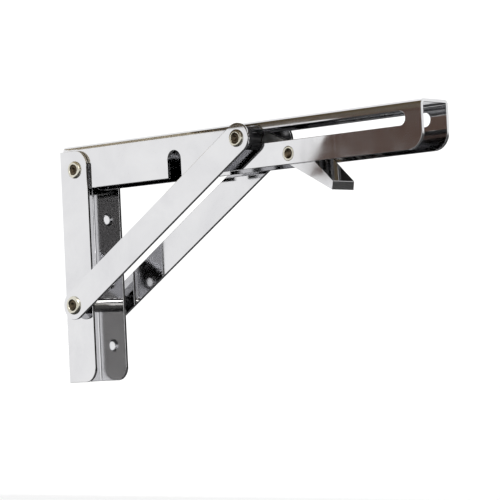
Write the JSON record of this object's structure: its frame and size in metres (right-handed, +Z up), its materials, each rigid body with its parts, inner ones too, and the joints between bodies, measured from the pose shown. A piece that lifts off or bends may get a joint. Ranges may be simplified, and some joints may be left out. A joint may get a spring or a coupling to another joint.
{
  "type": "folding shelf bracket",
  "caption": "Folding steel shelf bracket: wall channel, shelf arm that folds down, two-bar brace on a slotted slide pivot, and a sprung finger latch.",
  "frame": {"origin": "on the wall face at the middle wall screw, on the bracket's centre plane", "axes": "+X out of the wall along the shelf arm, +Y across the bracket to the right as seen facing the wall, +Z up"},
  "size_m": [0.3, 0.0452, 0.154],
  "materials": {
    "polished_steel": "mirror-polished stainless steel sheet",
    "rivet_steel": "bright plated rivet steel",
    "tube_steel": "bright drawn steel tube",
    "black_nylon": "black moulded nylon",
    "spring_steel": "spring wire"
  },
  "bodies": {
    "wall": {"wall_plate": "polished_steel", "top_pivot_rivet": "rivet_steel", "top_pivot_tube": "tube_steel", "lower_pivot_rivet": "rivet_steel", "lower_pivot_tube": "tube_steel", "lower_spacer_left": "black_nylon", "lower_spacer_right": "black_nylon"},
    "arm": {"shelf_arm": "polished_steel", "latch_rivet": "rivet_steel"},
    "brace": {"brace_bar_left": "polished_steel", "brace_bar_right": "polished_steel", "slide_rivet_left": "rivet_steel", "slide_rivet_right": "rivet_steel", "slide_collar_left": "black_nylon", "slide_collar_right": "black_nylon"},
    "slider": {"slot_bush_left": "black_nylon", "slot_bush_right": "black_nylon", "slide_pin_left": "rivet_steel", "slide_pin_right": "rivet_steel"},
    "latch": {"latch_lever": "polished_steel", "latch_hook": "polished_steel", "latch_sleeve_left": "tube_steel", "latch_sleeve_right": "tube_steel", "latch_spring": "spring_steel"}
  },
  "joints": [
    {"name": "arm_fold", "type": "hinge", "parent": "wall", "child": "arm", "pos_m": [0.015, 0, 0.073], "axis": [0, 1, 0], "range_deg": [0, 90]},
    {"name": "brace_swing", "type": "hinge", "parent": "wall", "child": "brace", "pos_m": [0.015, 0, -0.015], "axis": [0, 1, 0], "range_deg": [0, 120.26]},
    {"name": "pin_slide", "type": "slide", "parent": "arm", "child": "slider", "axis": [1, 0, 0], "range_m": [0, 0.11504]},
    {"name": "latch_release", "type": "hinge", "parent": "arm", "child": "latch", "pos_m": [0.198, 0, 0.0669], "axis": [0, -1, 0], "range_deg": [0, 30], "stiffness_Nm_per_rad": 0.15, "springref_deg": -20.05, "deforming": ["latch_spring"]}
  ],
  "couplings": [
    {"joint": "brace_swing", "follows": "arm_fold", "ratio": 1.3362},
    {"joint": "pin_slide", "follows": "arm_fold", "m_per_rad": 0.073237}
  ]
}
